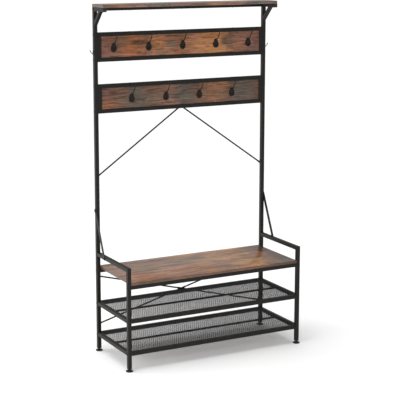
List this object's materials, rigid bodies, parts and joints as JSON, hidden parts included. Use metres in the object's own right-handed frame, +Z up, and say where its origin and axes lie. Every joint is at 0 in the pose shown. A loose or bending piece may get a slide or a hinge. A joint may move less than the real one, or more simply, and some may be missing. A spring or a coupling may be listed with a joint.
{
  "type": "hall tree",
  "caption": "Hall tree with a shoe bench, mesh shoe shelves, armrests, hook panels and a narrow hat shelf on a square tube frame.",
  "frame": {"origin": "on the floor, under the middle of the frame's width and depth", "axes": "+Z up, +X to the right of a person who faces the hall tree, -Y towards that person"},
  "size_m": [1.041, 0.4101, 1.8],
  "materials": {
    "black_frame": "matt black powder coat",
    "rustic_board": "rustic brown woodgrain laminate, satin",
    "shelf_mesh": "expanded steel, black powder coat",
    "hook_metal": "black-brown painted cast metal, satin",
    "black_fasteners": "black oxide, satin",
    "zinc_steel": "zinc plated",
    "black_plastic": "matt moulded plastic"
  },
  "bodies": {
    "frame": {"left_front_post": "black_frame", "right_front_post": "black_frame", "left_back_post_lower": "black_frame", "right_back_post_lower": "black_frame", "left_back_post_upper": "black_frame", "right_back_post_upper": "black_frame", "post_joiners": "zinc_steel", "left_armrest": "black_frame", "right_armrest": "black_frame", "lower_shelf_left_rail": "black_frame", "lower_shelf_right_rail": "black_frame", "lower_shelf_front_rail": "black_frame", "lower_shelf_back_rail": "black_frame", "lower_shelf_centre_bar": "black_frame", "lower_shelf_mesh": "shelf_mesh", "upper_shelf_left_rail": "black_frame", "upper_shelf_right_rail": "black_frame", "upper_shelf_front_rail": "black_frame", "upper_shelf_back_rail": "black_frame", "upper_shelf_centre_bar": "black_frame", "upper_shelf_mesh": "shelf_mesh", "seat_front_rail": "black_frame", "seat_back_rail": "black_frame", "seat_board": "rustic_board", "top_shelf_board": "rustic_board", "top_shelf_back_rail": "black_frame", "left_shelf_arm": "black_frame", "right_shelf_arm": "black_frame", "left_shelf_bracket": "black_frame", "right_shelf_bracket": "black_frame", "upper_panel_frame": "black_frame", "upper_panel_board": "rustic_board", "lower_panel_frame": "black_frame", "lower_panel_board": "rustic_board", "upper_hook_1": "hook_metal", "upper_hook_2": "hook_metal", "upper_hook_3": "hook_metal", "upper_hook_4": "hook_metal", "upper_hook_5": "hook_metal", "lower_hook_1": "hook_metal", "lower_hook_2": "hook_metal", "lower_hook_3": "hook_metal", "lower_hook_4": "hook_metal", "left_side_hook": "hook_metal", "right_side_hook": "hook_metal", "left_v_brace": "black_frame", "right_v_brace": "black_frame", "rising_x_brace": "black_frame", "falling_x_brace": "black_frame", "left_side_brace": "black_frame", "right_side_brace": "black_frame", "foot_inserts": "black_plastic", "frame_bolts": "black_fasteners", "rail_inserts": "zinc_steel", "hook_screws": "black_fasteners", "board_screws": "zinc_steel"},
    "left_front_foot": {"left_front_foot": "black_plastic"},
    "right_front_foot": {"right_front_foot": "black_plastic"},
    "left_back_foot": {"left_back_foot": "black_plastic"},
    "right_back_foot": {"right_back_foot": "black_plastic"}
  },
  "joints": [
    {"name": "left_front_foot_height", "type": "slide", "parent": "frame", "child": "left_front_foot", "axis": [0, 0, 1], "range_m": [-0.006, 0.0045]},
    {"name": "right_front_foot_height", "type": "slide", "parent": "frame", "child": "right_front_foot", "axis": [0, 0, 1], "range_m": [-0.006, 0.0045]},
    {"name": "left_back_foot_height", "type": "slide", "parent": "frame", "child": "left_back_foot", "axis": [0, 0, 1], "range_m": [-0.006, 0.0045]},
    {"name": "right_back_foot_height", "type": "slide", "parent": "frame", "child": "right_back_foot", "axis": [0, 0, 1], "range_m": [-0.006, 0.0045]}
  ]
}
